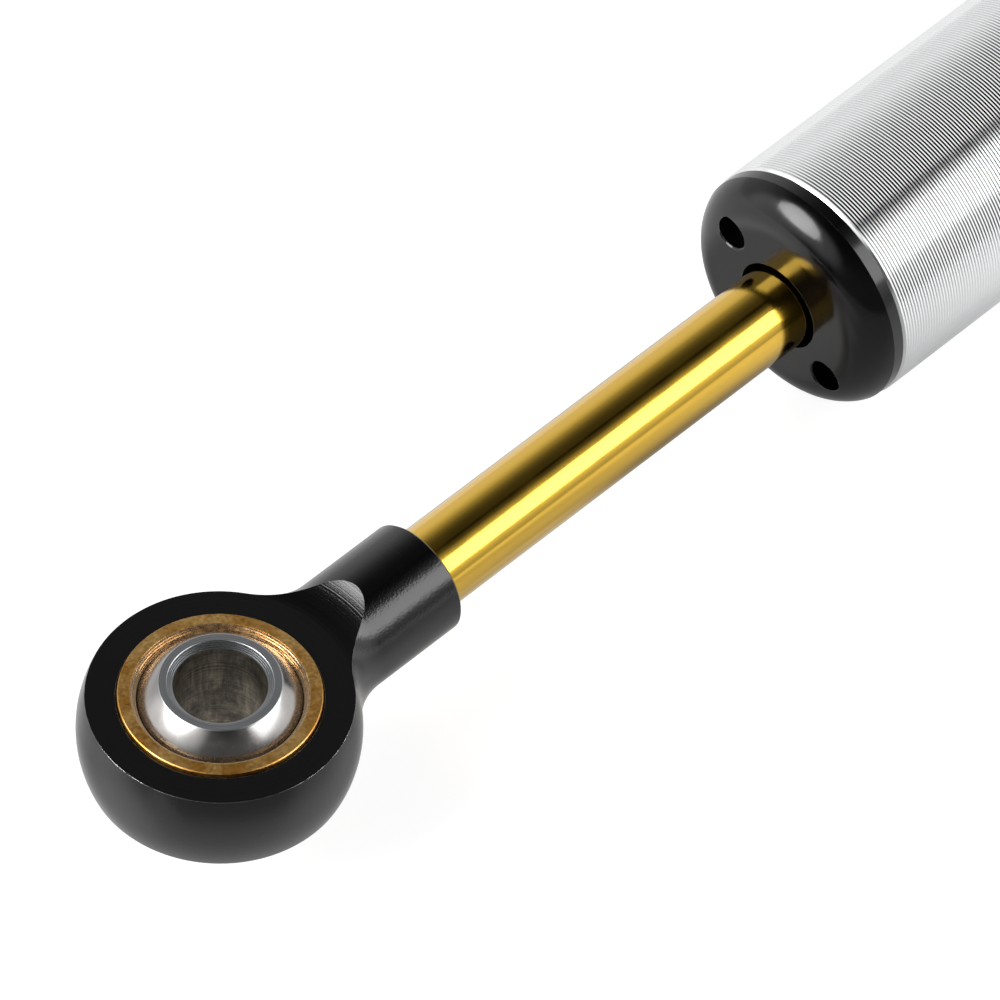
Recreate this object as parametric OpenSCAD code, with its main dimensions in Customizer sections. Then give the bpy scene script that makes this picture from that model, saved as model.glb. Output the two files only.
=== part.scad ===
// Adjustable through-rod steering damper with a spherical rod end.
// The origin is the centre of the bearing ball, +X runs along the rod towards the
// damper body and +Z is the axis of the eye's bolt hole.

/* [Eye] */
// Diameter of the bolt hole through the bearing ball
eye_bore_d = 8; // [6:0.1:9]
// Depth of the chamfer at each mouth of the bolt hole
eye_mouth = 0.5; // [0.2:0.05:0.7]
// Width of the ball over its two flat faces
ball_w = 12; // [10.5:0.1:12.6]
// Width of the flat ring round the bolt hole, chamfer included
ball_face_w = 1.2; // [0.9:0.05:1.6]
// Wall of the bronze race where the ball is widest
race_wall = 0.7; // [0.5:0.05:1.2]
// Width of the bronze race over its two faces
race_w = 9; // [8.4:0.1:9.8]
// Depth below the race's face at which the ball disappears into it
race_lip = 0.8; // [0.4:0.05:1.2]
// How far the stepped lip widens from the ball to the race's face
race_flare = 0.5; // [0.2:0.05:0.7]
// Diameter of the ball-shaped eye housing
eye_d = 24.2; // [22:0.1:28]
// Width of the eye housing over its turned flats
eye_w = 8.2; // [7:0.1:8.4]
// Radius at which the flats run out up the neck
run_out_r = 10; // [5:0.5:10.5]

/* [Neck] */
// Diameter of the neck that holds the rod
neck_d = 10.6; // [9.6:0.1:13]
// Distance from the ball's centre to the end of the neck
neck_reach = 23.7; // [22:0.1:30]
// Radius of the hollow fillet between the ball shape and the neck
neck_fillet_r = 6.5; // [3:0.5:9]
// Width of the edge break at the end of the neck
neck_edge = 0.2; // [0.1:0.05:0.5]

/* [Rod] */
// Diameter of the gold rod
rod_d = 7.7; // [7.2:0.05:8.2]
// Diameter of the screwed spigots at both ends of the rod
spigot_d = 6; // [5:0.1:6.4]
// Length of the spigot inside the neck
spigot_len = 10.5; // [8:0.1:11.5]
// Diameter of the oil way drilled along the rod
rod_bore_d = 3.1; // [3:0.05:3.6]
// Diameter of the cross holes that let oil into the rod
port_d = 1.2; // [0.6:0.1:2]
// Travel of the rod from one stop to the other
stroke = 75; // [40:1:120]
// Gap left between neck and front cap when the damper is fully closed
closed_gap = 7; // [2:0.5:20]

/* [Damper body] */
// Outer diameter of the body tube
tube_d = 23.2; // [21:0.1:27]
// Wall of the body tube
tube_wall = 2.1; // [1.7:0.05:2.6]
// Wall left round the wider screwed mouth at each end of the tube
mouth_wall = 1.2; // [0.8:0.05:1.5]
// Chamfer on the tube's outer end edges
tube_chamfer = 0.25; // [0.1:0.05:0.5]

/* [End caps] */
// How far the cap's rim lies inside the tube's outer surface
cap_step = 0.15; // [0:0.05:0.5]
// How far the rounded shoulder reaches in from the rim
cap_shoulder_w = 3.95; // [2:0.05:5]
// Height of the rounded shoulder between face and rim
cap_dome_h = 2.75; // [1.5:0.05:3.2]
// Width of the plain rim band beside the tube
cap_rim_w = 1.1; // [0.4:0.1:3]
// Length of the cap's screwed spigot inside the tube
cap_spigot_len = 6; // [5:0.1:10]
// Wall of that spigot round the guide's hub
cap_spigot_wall = 2.4; // [1.4:0.1:3]
// Radial gap between the rod and the hole in the cap
cap_hole_gap = 0.5; // [0.3:0.05:0.8]
// Thickness of the cap in front of the wiper
cap_lip = 2.4; // [2.2:0.1:3]
// Diameter of the two spanner holes in the face
pin_hole_d = 3.15; // [2:0.05:3.6]
// Depth of the spanner holes
pin_hole_depth = 2; // [1:0.1:2.1]
// Chamfer at the mouth of the spanner holes
pin_mouth = 0.12; // [0.05:0.01:0.3]
// Diameter of the circle on which the spanner holes lie
pin_circle_d = 15.1; // [14:0.1:17]
// Turn of the spanner holes about the rod, from +Y towards +Z
pin_angle = 37; // [0:1:90]

/* [Rod guides and seals] */
// Thickness of the guide's flange that the cap clamps
guide_flange = 3; // [2:0.1:5]
// Length of the guide inside the tube's bore
guide_len = 6; // [5.6:0.1:12]
// Wall of the bronze bush that carries the rod
bush_wall = 1; // [0.7:0.05:1.4]
// Thickness of the shoulder between rod seal and bush
guide_shoulder = 1.2; // [0.8:0.1:2]
// Outer diameter of the wiper
wiper_d = 12; // [11.4:0.1:12.4]
// Length of the wiper
wiper_len = 3; // [2.6:0.1:3.4]
// Outer diameter of the rod seal
seal_d = 12.8; // [12:0.1:13.4]
// Length of the rod seal
seal_len = 3.4; // [2.6:0.1:4]
// Thickness of the steel washer over the rod seal
seal_washer_t = 0.8; // [0.5:0.1:1.2]
// Wire diameter of the static ring seals on the guides
guide_ring_d = 1.78; // [1.6:0.02:2]
// Depth of the guide's ring groove, seal squeezed in
guide_groove_depth = 1.4; // [1.3:0.05:1.55]
// Length of each rubber bump stop
bump_len = 3; // [1:0.1:6]
// Gap between the bump stops and the tube's bore
bump_gap = 2; // [0.5:0.1:3]

/* [Piston] */
// Length of the piston
piston_len = 8; // [7:0.1:14]
// Width of the sliding band round the piston
band_w = 4.9; // [3:0.1:5.5]
// Radial thickness of the sliding band
band_t = 1; // [0.7:0.05:1.4]
// Width of the slit where the band is cut
band_slit = 0.6; // [0.2:0.05:1]
// Number of oil ports through the piston
piston_ports = 6; // [4:2:8]
// Diameter of the oil ports through the piston
piston_port_d = 1.8; // [1:0.1:2]
// Thickness of the spring-steel shims on the piston's faces
shim_t = 0.4; // [0.2:0.05:0.8]
// How far the shims reach past the ports that they cover
shim_lap = 0.28; // [0.1:0.02:0.6]
// Thickness of the clips that hold the piston on the rod
clip_t = 0.9; // [0.6:0.05:1.4]
// Outer diameter of the clips
clip_d = 11.2; // [10:0.1:12]
// Depth of the clip grooves in the rod
clip_groove = 0.4; // [0.3:0.05:0.6]

/* [Bleed needle] */
// Diameter of the hole in the needle's seat
seat_hole_d = 1.6; // [1.2:0.05:1.8]
// Length of the needle's seat
seat_len = 4; // [2:0.1:6]
// Diameter of the needle's stem
needle_stem_d = 2.2; // [1.9:0.05:2.4]
// Width across the two flats that stop the needle turning
needle_flats = 2.2; // [1.8:0.05:2.6]
// Wire diameter of the needle's ring seals
needle_ring_d = 0.7; // [0.5:0.05:0.8]

/* [Adjuster] */
// Diameter of the adjuster housing under the knob
adjuster_d = 14; // [13.4:0.1:15]
// Length of the adjuster housing
adjuster_len = 14; // [13:0.1:18]
// Diameter of the housing's flange beside the knob
adjuster_flange_d = 18; // [16:0.1:20]
// Thickness of the housing's flange
adjuster_flange_t = 2; // [1.2:0.1:4]
// Diameter of the knob
knob_d = 20; // [19.4:0.1:22]
// Thickness of the knob's end wall
knob_end_t = 4; // [3:0.1:6]
// Number of grip flutes round the knob
knob_flutes = 12; // [6:1:20]
// Radius of the grip flutes
flute_r = 1.6; // [0.8:0.1:2.2]
// Depth of the grip flutes
flute_depth = 0.7; // [0.3:0.05:0.9]
// Clicks in one turn of the knob
clicks = 24; // [12:1:30]
// Diameter of the click ball
detent_ball_d = 1.6; // [1.2:0.05:1.8]
// Wire diameter of the click spring
detent_wire_d = 0.24; // [0.15:0.01:0.3]
// Turns of the click spring
detent_turns = 3; // [2:1:3]

/* [Hidden] */
$fn = 96;

// Radial clearance where one piece is seated in another of the same group
seat_fit = 0.02;
// Radial clearance of a piece that slides or turns in another
run_fit = 0.03;
// Clearance between pieces that pass one another without touching
pass_gap = 0.3;
// Axial play of rings and clips in their grooves
play = 0.05;
// How far a cutting shape runs past the face that it cuts
over = 1;

// Radii
eye_bore_r = eye_bore_d / 2;
ball_r = sqrt(pow(ball_w / 2, 2) + pow(eye_bore_r + ball_face_w, 2));
race_r = ball_r + race_wall;
eye_r = eye_d / 2;
neck_r = neck_d / 2;
rod_r = rod_d / 2;
spigot_r = spigot_d / 2;
rod_bore_r = rod_bore_d / 2;
tube_r = tube_d / 2;
tube_bore_r = tube_r - tube_wall;
tube_mouth_r = tube_r - mouth_wall;
cap_r = tube_r - cap_step;
cap_face_r = cap_r - cap_shoulder_w;
guide_hub_r = tube_mouth_r - cap_spigot_wall;
seal_r = seal_d / 2;
wiper_r = wiper_d / 2;
bump_r = tube_bore_r - bump_gap;
clip_r = clip_d / 2;
needle_r = rod_bore_r - run_fit - seat_fit;
adjuster_r = adjuster_d / 2;
knob_r = knob_d / 2;

// Distances inward from the end of the tube, the same at both ends
cap_h = cap_dome_h + cap_rim_w;
wiper_s = cap_lip - cap_h;
hub_s = wiper_s + wiper_len + play;
washer_s = hub_s + play;
seal_s = washer_s + seal_washer_t;
shoulder_s = seal_s + seal_len + play;
bush_s = shoulder_s + guide_shoulder;
mouth_s = max(cap_spigot_len, shoulder_s - guide_flange) + guide_flange;
flange_s = mouth_s - guide_flange;
guide_end_s = mouth_s + guide_len;
bump_end_s = guide_end_s + bump_len;

// Places along the rod
stop_gap = 0.1;
piston_half = piston_len / 2;
clip_out = piston_half + shim_t + clip_t + play;
half_body = bump_end_s + stop_gap + stroke / 2 + clip_out;
tube_len = 2 * half_body;
cap_face_x = neck_reach + closed_gap + stroke / 2;
tube_x = cap_face_x + cap_h;
mid_x = tube_x + half_body;
adjuster_x = tube_x + tube_len + cap_h + closed_gap + stroke / 2;
spigot_x = neck_reach - spigot_len;

// Oil ways in the rod, on both sides of the piston
port_x = clip_out + 2 * port_d;
rod_bore_x = mid_x - port_x - port_d;

// Places along the adjuster, measured from its front face
key_wall_t = 1.8;
key_x = spigot_len + 3 * play;
recess_x = key_x + key_wall_t;
knob_x = adjuster_flange_t + play;
knob_inner_x = adjuster_len + play;
knob_end_x = knob_inner_x + knob_end_t;
recess_r = spigot_r + 1.2;
insert_wall = 1.25;
insert_r = needle_r + run_fit + insert_wall;
insert_x = recess_x + 1;
insert_end_x = knob_end_x - 0.3 * knob_end_t;
snap_wire_d = 0.9;
snap_from_flange = 1.8;
snap_x = adjuster_flange_t + snap_from_flange;
detent_from_snap = 3.4;
detent_x = snap_x + detent_from_snap;
detent_r = adjuster_r + run_fit - seat_fit - detent_ball_d / 2;
detent_hole_r = detent_ball_d / 2 + seat_fit;
detent_spring_len = 1.6;
detent_floor_r = detent_r - detent_ball_d / 2 - detent_spring_len;

// Piston: groove for the seal on the rod, floor of the band's groove, and the oil
// ports midway between the two, which the shims cover
piston_ring_d = 1.78;
piston_ring_depth = 1.35;
piston_groove_w = 2;
piston_groove_r = rod_r + piston_ring_depth;
band_floor_r = tube_bore_r - band_t - 2 * run_fit;
port_circle_r = (band_floor_r + piston_groove_r) / 2;
shim_r = port_circle_r + piston_port_d / 2 + shim_lap;

// Ring groove round each guide
ring_slack = 0.2;
groove_s = mouth_s + guide_len / 2;
groove_half = guide_ring_d / 2 + ring_slack;

// Needle: how deep it dips in its seat, its cone, ring grooves, flats and end
needle_dip = 0.6;
needle_cone_len = 2.4;
needle_tip_r = 0.25;
needle_ring_gap = 2;
needle_ring_step = 3;
needle_end_gap = 0.8;
needle_lead = 3;
needle_tip_x = mid_x + seat_len / 2 - needle_dip;
needle_cone_x = needle_tip_x + needle_cone_len;
needle_body_x = mid_x + port_x + 3 * port_d;
needle_ring_x = [needle_body_x + needle_ring_gap, needle_body_x + needle_ring_gap + needle_ring_step];
needle_groove_r = rod_bore_r - 0.85 * needle_ring_d;
needle_groove_half = 0.65 * needle_ring_d;
needle_flats_x = adjuster_x + spigot_len - needle_lead;
needle_end_x = adjuster_x + insert_end_x - needle_end_gap;

// Turns a profile, drawn as radius across and distance up, round the rod's axis
module turned(x = 0) {
    translate([x, 0, 0]) rotate([0, 90, 0]) rotate_extrude() children();
}

// A round bar on the rod's axis from one place to another
module bar(r, x0, x1) {
    translate([x0, 0, 0]) rotate([0, 90, 0]) cylinder(r = r, h = x1 - x0);
}

// A rectangle of the profile between two radii and two distances
module band2d(r0, r1, s0, s1) {
    translate([r0, s0]) square([r1 - r0, s1 - s0]);
}

// Draws its children at the front of the tube, or mirrored at the rear
module at_end(rear) {
    if (rear) translate([2 * mid_x - tube_x, 0, 0]) mirror([1, 0, 0]) children();
    else translate([tube_x, 0, 0]) children();
}

// A rubber ring squeezed flat between two radii
module squeezed_ring(r0, r1, wire_d, s) {
    turned(s) intersection() {
        translate([(r0 + r1) / 2, 0]) circle(d = wire_d);
        band2d(r0, r1, -wire_d, wire_d);
    }
}

// Eye: ball shape, hollow fillet and neck as one turned profile
module eye_profile() {
    centre_s = sqrt(pow(eye_r + neck_fillet_r, 2) - pow(neck_r + neck_fillet_r, 2));
    intersection() {
        circle(r = eye_r);
        band2d(0, eye_r, -eye_r, eye_r);
    }
    difference() {
        polygon([[0, 0], [neck_r + neck_fillet_r, centre_s], [0, centre_s]]);
        translate([neck_r + neck_fillet_r, centre_s]) circle(r = neck_fillet_r);
    }
    polygon([
        [0, centre_s], [neck_r, centre_s], [neck_r, neck_reach - neck_edge],
        [neck_r - neck_edge, neck_reach], [0, neck_reach]
    ]);
}

// What the lathe takes off above one flat, with its run-out up the neck
module flat_cut() {
    flat_z = eye_w / 2;
    flat_r = sqrt(pow(eye_r, 2) - pow(flat_z, 2));
    lead = 0.15;
    run_out_x = flat_r - lead;
    far = run_out_x + run_out_r;
    rotate_extrude() intersection() {
        union() {
            band2d(0, run_out_x, flat_z, far);
            translate([run_out_x, flat_z + run_out_r]) circle(r = run_out_r);
        }
        band2d(0, far, flat_z, flat_z + run_out_r);
    }
}

module rod_end_housing() {
    flat_z = eye_w / 2;
    bore_r = race_r + seat_fit;
    bore_edge = 0.15;
    color("#1b1c1e") difference() {
        turned() eye_profile();
        flat_cut();
        mirror([0, 0, 1]) flat_cut();
        cylinder(r = bore_r, h = eye_d, center = true);
        for (side = [0, 1]) mirror([0, 0, side]) translate([0, 0, flat_z - bore_edge])
            cylinder(r1 = bore_r, r2 = bore_r + bore_edge + over, h = bore_edge + over);
        bar(spigot_r + seat_fit, spigot_x - 2 * play, neck_reach + over);
    }
}

module bearing_race() {
    half = race_w / 2;
    lip_z = half - race_lip;
    lip_r = sqrt(pow(ball_r + run_fit, 2) - pow(lip_z, 2));
    steps = 3;
    color("#a8762f") difference() {
        cylinder(r = race_r, h = race_w, center = true);
        sphere(r = ball_r + run_fit);
        for (side = [0, 1], i = [0:steps - 1]) mirror([0, 0, side])
            translate([0, 0, lip_z + i * race_lip / steps])
                cylinder(r = lip_r + (i + 1) * race_flare / steps, h = half);
    }
}

module bearing_ball() {
    half = ball_w / 2;
    color("#c9cbcc") difference() {
        intersection() {
            sphere(r = ball_r);
            cylinder(r = 2 * ball_r, h = ball_w, center = true);
        }
        cylinder(r = eye_bore_r, h = 2 * ball_r, center = true);
        for (side = [0, 1]) mirror([0, 0, side]) translate([0, 0, half - eye_mouth])
            cylinder(r1 = eye_bore_r, r2 = eye_bore_r + eye_mouth + over, h = eye_mouth + over);
    }
}

module piston_rod() {
    tip = 0.5;
    rear_tip_x = adjuster_x + spigot_len;
    color("#c99a2e") difference() {
        turned() polygon([
            [0, spigot_x], [spigot_r - tip, spigot_x], [spigot_r, spigot_x + tip],
            [spigot_r, neck_reach], [rod_r, neck_reach], [rod_r, adjuster_x],
            [spigot_r, adjuster_x], [spigot_r, rear_tip_x - tip],
            [spigot_r - tip, rear_tip_x], [0, rear_tip_x]
        ]);
        bar(rod_bore_r, rod_bore_x, rear_tip_x + over);
        for (side = [-1, 1]) {
            translate([mid_x + side * port_x, 0, 0]) cylinder(d = port_d, h = rod_d + over, center = true);
            turned(mid_x + side * (clip_out - (clip_t + play) / 2))
                band2d(rod_r - clip_groove, rod_d, -clip_t / 2 - play, clip_t / 2 + play);
        }
    }
}

module needle_seat() {
    mouth = 0.3;
    color("#b08d3c") turned(mid_x) polygon([
        [seat_hole_d / 2, -seat_len / 2], [rod_bore_r - seat_fit, -seat_len / 2],
        [rod_bore_r - seat_fit, seat_len / 2], [seat_hole_d / 2 + mouth, seat_len / 2],
        [seat_hole_d / 2, seat_len / 2 - mouth]
    ]);
}

// Piston, its two clips and the shims that cover every other port
module ports(first, step, length) {
    for (i = [first:step:piston_ports - 1]) rotate([i * 360 / piston_ports, 0, 0])
        translate([0, port_circle_r, 0]) rotate([0, 90, 0])
            cylinder(d = piston_port_d, h = length, center = true);
}

module piston() {
    outer_r = tube_bore_r - pass_gap;
    edge = 0.4;
    color("#8d9296") difference() {
        turned(mid_x) difference() {
            polygon([
                [rod_r + seat_fit, -piston_half], [outer_r - edge, -piston_half],
                [outer_r, edge - piston_half], [outer_r, piston_half - edge],
                [outer_r - edge, piston_half], [rod_r + seat_fit, piston_half]
            ]);
            band2d(band_floor_r, outer_r + over, -band_w / 2 - play, band_w / 2 + play);
            band2d(0, piston_groove_r, -piston_groove_w / 2, piston_groove_w / 2);
        }
        translate([mid_x, 0, 0]) ports(0, 1, piston_len + over);
    }
}

module piston_band() {
    outer_r = tube_bore_r - run_fit;
    color("#d8d4c8") difference() {
        turned(mid_x) band2d(outer_r - band_t, outer_r, -band_w / 2, band_w / 2);
        translate([mid_x, 0, outer_r]) rotate([0, 0, 30])
            cube([2 * band_w, band_slit, 2 * outer_r], center = true);
    }
}

module piston_ring_seal() {
    color("#141414") translate([mid_x, 0, 0])
        squeezed_ring(rod_r + seat_fit, piston_groove_r - seat_fit, piston_ring_d, 0);
}

module shim(side) {
    color("#b9bdc0") difference() {
        turned(mid_x + side * (piston_half + shim_t / 2))
            band2d(rod_r + seat_fit, shim_r, -shim_t / 2, shim_t / 2);
        translate([mid_x + side * piston_half, 0, 0])
            ports(side < 0 ? 0 : 1, 2, 2 * shim_t + over);
    }
}

module front_shim() {
    shim(-1);
}

module rear_shim() {
    shim(1);
}

module piston_clip(side) {
    opening = 60;
    inner_r = rod_r - clip_groove + seat_fit;
    color("#6f7275") difference() {
        turned(mid_x + side * (piston_half + shim_t + clip_t / 2))
            band2d(inner_r, clip_r, -clip_t / 2, clip_t / 2);
        translate([mid_x, 0, 0]) rotate([90, 0, 90]) linear_extrude(height = 4 * piston_len, center = true)
            polygon([[0, 0], clip_d * [cos(opening / 2), sin(opening / 2)],
                clip_d * [cos(opening / 2), -sin(opening / 2)]]);
    }
}

module front_piston_clip() {
    piston_clip(-1);
}

module rear_piston_clip() {
    piston_clip(1);
}

module body_tube() {
    color("#c7cacd") turned(tube_x) difference() {
        polygon([
            [0, 0], [tube_r - tube_chamfer, 0], [tube_r, tube_chamfer],
            [tube_r, tube_len - tube_chamfer], [tube_r - tube_chamfer, tube_len], [0, tube_len]
        ]);
        band2d(0, tube_bore_r, -over, tube_len + over);
        band2d(0, tube_mouth_r, -over, mouth_s);
        band2d(0, tube_mouth_r, tube_len - mouth_s, tube_len + over);
    }
}

// Blind hole for a pin spanner, its mouth at the origin
module spanner_hole() {
    translate([0, 0, -over]) cylinder(d = pin_hole_d, h = pin_hole_depth + over);
    translate([0, 0, -over])
        cylinder(d1 = pin_hole_d + 2 * (pin_mouth + over), d2 = pin_hole_d, h = pin_mouth + over);
}

// End cap: flat face, rounded shoulder, rim band and screwed spigot
module cap(rear) {
    across = cap_r - cap_face_r;
    shoulder_r = (pow(across, 2) + pow(cap_dome_h, 2)) / (2 * cap_dome_h);
    color("#161719") at_end(rear) difference() {
        turned() difference() {
            union() {
                band2d(0, cap_face_r, -cap_h, 0);
                intersection() {
                    translate([cap_face_r, shoulder_r - cap_h]) circle(r = shoulder_r);
                    band2d(cap_face_r, cap_r, -cap_h, -cap_rim_w);
                }
                band2d(0, cap_r, -cap_rim_w, 0);
                band2d(0, tube_mouth_r - seat_fit, -cap_rim_w, flange_s);
            }
            band2d(0, rod_r + cap_hole_gap, -cap_h - over, flange_s + over);
            band2d(0, wiper_r + seat_fit, wiper_s, flange_s + over);
            band2d(0, guide_hub_r + seat_fit, hub_s, flange_s + over);
        }
        for (turn = [0, 180]) rotate([pin_angle + turn, 0, 0])
            translate([-cap_h, pin_circle_d / 2, 0]) rotate([0, 90, 0]) spanner_hole();
    }
}

module front_cap() {
    cap(false);
}

module rear_cap() {
    cap(true);
}

// Rod guide: hub in the cap, clamped flange and a body with a ring groove
module rod_guide(rear) {
    body_r = tube_bore_r - seat_fit;
    color("#9ba0a4") at_end(rear) turned() difference() {
        union() {
            band2d(0, guide_hub_r, hub_s, flange_s + over);
            band2d(0, tube_mouth_r - seat_fit, flange_s, mouth_s);
            band2d(0, body_r, mouth_s, guide_end_s);
        }
        band2d(0, rod_r + cap_hole_gap, hub_s - over, guide_end_s + over);
        band2d(0, seal_r + seat_fit, hub_s - over, shoulder_s);
        band2d(0, rod_r + run_fit + bush_wall + seat_fit, bush_s, guide_end_s + over);
        band2d(tube_bore_r - guide_groove_depth, tube_r, groove_s - groove_half, groove_s + groove_half);
    }
}

module front_rod_guide() {
    rod_guide(false);
}

module rear_rod_guide() {
    rod_guide(true);
}

module bush(rear) {
    color("#8c6a35") at_end(rear) turned()
        band2d(rod_r + run_fit, rod_r + run_fit + bush_wall, bush_s, guide_end_s);
}

module front_bush() {
    bush(false);
}

module rear_bush() {
    bush(true);
}

// Lip seal with its open side towards the oil
module rod_seal(rear) {
    inner_r = rod_r + run_fit;
    wall = (seal_r - inner_r) / 3;
    color("#1c1c1c") at_end(rear) turned() difference() {
        band2d(inner_r, seal_r, seal_s, seal_s + seal_len);
        polygon([
            [inner_r + wall, seal_s + seal_len + over], [inner_r + 2 * wall, seal_s + seal_len + over],
            [inner_r + 1.6 * wall, seal_s + seal_len / 2], [inner_r + 1.4 * wall, seal_s + seal_len / 2]
        ]);
    }
}

module front_rod_seal() {
    rod_seal(false);
}

module rear_rod_seal() {
    rod_seal(true);
}

module seal_washer(rear) {
    color("#a9adb0") at_end(rear) turned()
        band2d(rod_r + pass_gap, seal_r, washer_s, seal_s);
}

module front_seal_washer() {
    seal_washer(false);
}

module rear_seal_washer() {
    seal_washer(true);
}

// Wiper with a scraping lip that points outwards along the rod
module wiper(rear) {
    inner_r = rod_r + run_fit;
    lip_r = inner_r + 0.3;
    heel_r = rod_r + 1.1;
    color("#101010") at_end(rear) turned(wiper_s) polygon([
        [inner_r, 0.15 * wiper_len], [lip_r, play], [wiper_r, play],
        [wiper_r, wiper_len], [heel_r, wiper_len], [heel_r, 0.7 * wiper_len],
        [inner_r, 0.35 * wiper_len]
    ]);
}

module front_wiper() {
    wiper(false);
}

module rear_wiper() {
    wiper(true);
}

module guide_ring_seal(rear) {
    color("#141414") at_end(rear) squeezed_ring(
        tube_bore_r - guide_groove_depth + seat_fit, tube_bore_r - seat_fit, guide_ring_d, groove_s);
}

module front_guide_ring_seal() {
    guide_ring_seal(false);
}

module rear_guide_ring_seal() {
    guide_ring_seal(true);
}

module bump_stop(rear) {
    edge = bump_len / 4;
    inner_r = rod_r + pass_gap;
    color("#b5652b") at_end(rear) turned() polygon([
        [inner_r, guide_end_s], [bump_r, guide_end_s], [bump_r, bump_end_s - edge],
        [bump_r - edge, bump_end_s], [inner_r + edge, bump_end_s], [inner_r, bump_end_s - edge]
    ]);
}

module front_bump_stop() {
    bump_stop(false);
}

module rear_bump_stop() {
    bump_stop(true);
}

// Bleed needle: cone at the seat, stem past the port, ring grooves and flats
module metering_needle() {
    color("#9aa0a5") difference() {
        turned() difference() {
            polygon([
                [0, needle_tip_x], [needle_tip_r, needle_tip_x], [needle_stem_d / 2, needle_cone_x],
                [needle_stem_d / 2, needle_body_x], [needle_r, needle_body_x],
                [needle_r, needle_end_x], [0, needle_end_x]
            ]);
            for (x = needle_ring_x)
                band2d(needle_groove_r, rod_r, x - needle_groove_half, x + needle_groove_half);
        }
        for (side = [0, 1]) mirror([0, side, 0])
            translate([needle_flats_x, needle_flats / 2, -rod_r])
                cube([needle_end_x + over - needle_flats_x, rod_r, rod_d]);
    }
}

module needle_ring_seals() {
    color("#141414") for (x = needle_ring_x)
        squeezed_ring(needle_groove_r + seat_fit, rod_bore_r - run_fit, needle_ring_d, x);
}

module adjuster_housing() {
    edge = 0.4;
    snap_seat_r = adjuster_r - 0.75 * snap_wire_d;
    snap_half = 0.6 * snap_wire_d;
    color("#26282b") difference() {
        turned(adjuster_x) difference() {
            polygon([
                [0, 0], [adjuster_flange_d / 2 - edge, 0], [adjuster_flange_d / 2, edge],
                [adjuster_flange_d / 2, adjuster_flange_t], [adjuster_r, adjuster_flange_t],
                [adjuster_r, adjuster_len - edge], [adjuster_r - edge, adjuster_len], [0, adjuster_len]
            ]);
            band2d(0, spigot_r + seat_fit, -over, key_x);
            band2d(0, recess_r, recess_x, adjuster_len + over);
            band2d(snap_seat_r, knob_r, snap_x - snap_half, snap_x + snap_half);
        }
        intersection() {
            bar(needle_r + pass_gap, adjuster_x, adjuster_x + adjuster_len);
            translate([adjuster_x, -needle_flats / 2 - 2 * run_fit, -rod_r])
                cube([adjuster_len, needle_flats + 4 * run_fit, rod_d]);
        }
        translate([adjuster_x + detent_x, 0, detent_floor_r])
            cylinder(r = detent_hole_r, h = adjuster_r);
    }
}

// Click mechanism: a ball pushed outwards by a small coil spring
module detent_ball() {
    color("#c9cbcc") translate([adjuster_x + detent_x, 0, detent_r]) sphere(d = detent_ball_d);
}

module detent_spring() {
    sides = 6;
    rings_per_turn = 12;
    rings = detent_turns * rings_per_turn;
    side_gap = 0.1;
    coil_r = detent_hole_r - side_gap - detent_wire_d / 2;
    low_z = detent_floor_r + detent_wire_d;
    high_z = detent_r - detent_ball_d / 2 - detent_wire_d / 4;
    rise = (high_z - low_z) / rings;
    function wire_point(i, j) = let (
        turn = i * 360 / rings_per_turn,
        around = j * 360 / sides,
        r = coil_r + detent_wire_d / 2 * cos(around)
    ) [r * cos(turn), r * sin(turn), low_z + i * rise + detent_wire_d / 2 * sin(around)];
    points = [for (i = [0:rings], j = [0:sides - 1]) wire_point(i, j)];
    walls = [
        for (i = [0:rings - 1], j = [0:sides - 1]) let (k = (j + 1) % sides)
            [i * sides + j, i * sides + k, (i + 1) * sides + k, (i + 1) * sides + j]
    ];
    ends = [
        [for (j = [0:sides - 1]) sides - 1 - j],
        [for (j = [0:sides - 1]) rings * sides + j]
    ];
    color("#8f9497") translate([adjuster_x + detent_x, 0, 0])
        polyhedron(points, concat(walls, ends));
}

module knob_snap_ring() {
    opening = 40;
    color("#6f7275") difference() {
        turned(adjuster_x + snap_x) translate([adjuster_r, 0]) circle(d = snap_wire_d);
        translate([adjuster_x + snap_x, 0, 0]) rotate([90, 0, 90])
            linear_extrude(height = 2 * snap_wire_d, center = true)
                polygon([[0, 0], knob_d * [cos(opening / 2), sin(opening / 2)],
                    knob_d * [cos(opening / 2), -sin(opening / 2)]]);
    }
}

// Knob: fluted cap with click grooves inside and a domed end
module adjuster_knob() {
    bore_r = adjuster_r + run_fit;
    edge = 0.6;
    end_r = 2.2;
    click_groove_r = 0.45;
    snap_half = snap_wire_d / 2 + 0.15;
    snap_groove_r = adjuster_r + snap_wire_d / 2 + 0.35;
    color("#17181a") difference() {
        turned(adjuster_x) difference() {
            union() {
                polygon([
                    [0, knob_x], [knob_r - edge, knob_x], [knob_r, knob_x + edge],
                    [knob_r, knob_end_x - end_r], [0, knob_end_x - end_r]
                ]);
                band2d(0, knob_r - end_r, knob_end_x - end_r - over, knob_end_x);
                translate([knob_r - end_r, knob_end_x - end_r]) circle(r = end_r);
            }
            band2d(0, bore_r, -over, knob_inner_x);
            band2d(0, insert_r + seat_fit, -over, insert_end_x);
            band2d(0, snap_groove_r, snap_x - snap_half, snap_x + snap_half);
        }
        for (i = [0:knob_flutes - 1]) rotate([(i + 0.5) * 360 / knob_flutes, 0, 0])
            translate([adjuster_x + knob_x - over, 0, knob_r + flute_r - flute_depth]) rotate([0, 90, 0])
                cylinder(r = flute_r, h = knob_end_x - knob_x + 2 * over);
        for (i = [0:clicks - 1]) rotate([i * 360 / clicks, 0, 0])
            translate([adjuster_x + detent_x - detent_ball_d, 0, bore_r]) rotate([0, 90, 0])
                cylinder(r = click_groove_r, h = 2 * detent_ball_d);
    }
}

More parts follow.
